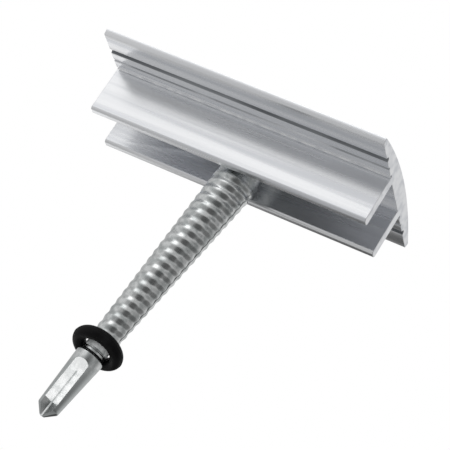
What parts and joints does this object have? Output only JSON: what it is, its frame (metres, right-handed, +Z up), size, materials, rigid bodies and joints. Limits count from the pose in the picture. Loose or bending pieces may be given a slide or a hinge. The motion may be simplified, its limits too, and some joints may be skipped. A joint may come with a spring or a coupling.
{
  "type": "solar module clamp",
  "caption": "Short domed aluminium extrusion with a legged channel underneath, a slender tapered drilling screw through it and a rubber retaining ring above the drill point.",
  "frame": {"origin": "middle of the extrusion on the clamping plane, which is the flat underside of the cap", "axes": "+X along the extrusion, +Y across it, +Z up through the cap; the screw points to -Z and leans by 7 degrees along X"},
  "size_m": [0.06, 0.0368, 0.0753],
  "materials": {
    "mill_aluminium": "bright mill finish with fine extrusion lines along its length",
    "zinc_plated_steel": "bright zinc plating, rolled thread",
    "black_rubber": "smooth with a soft sheen"
  },
  "bodies": {
    "clamp": {"clamp_profile": "mill_aluminium"},
    "keeper": {"retaining_ring": "black_rubber"},
    "screw": {"drill_screw": "zinc_plated_steel"}
  },
  "joints": [
    {"name": "screw_slide", "type": "slide", "parent": "clamp", "child": "keeper", "axis": [0.1219, 0, 0.9925], "range_m": [0, 0.0389]},
    {"name": "screw_turn", "type": "hinge", "parent": "keeper", "child": "screw", "pos_m": [0.0024, 0, 0.0016], "axis": [0.1219, 0, 0.9925], "continuous": true}
  ]
}
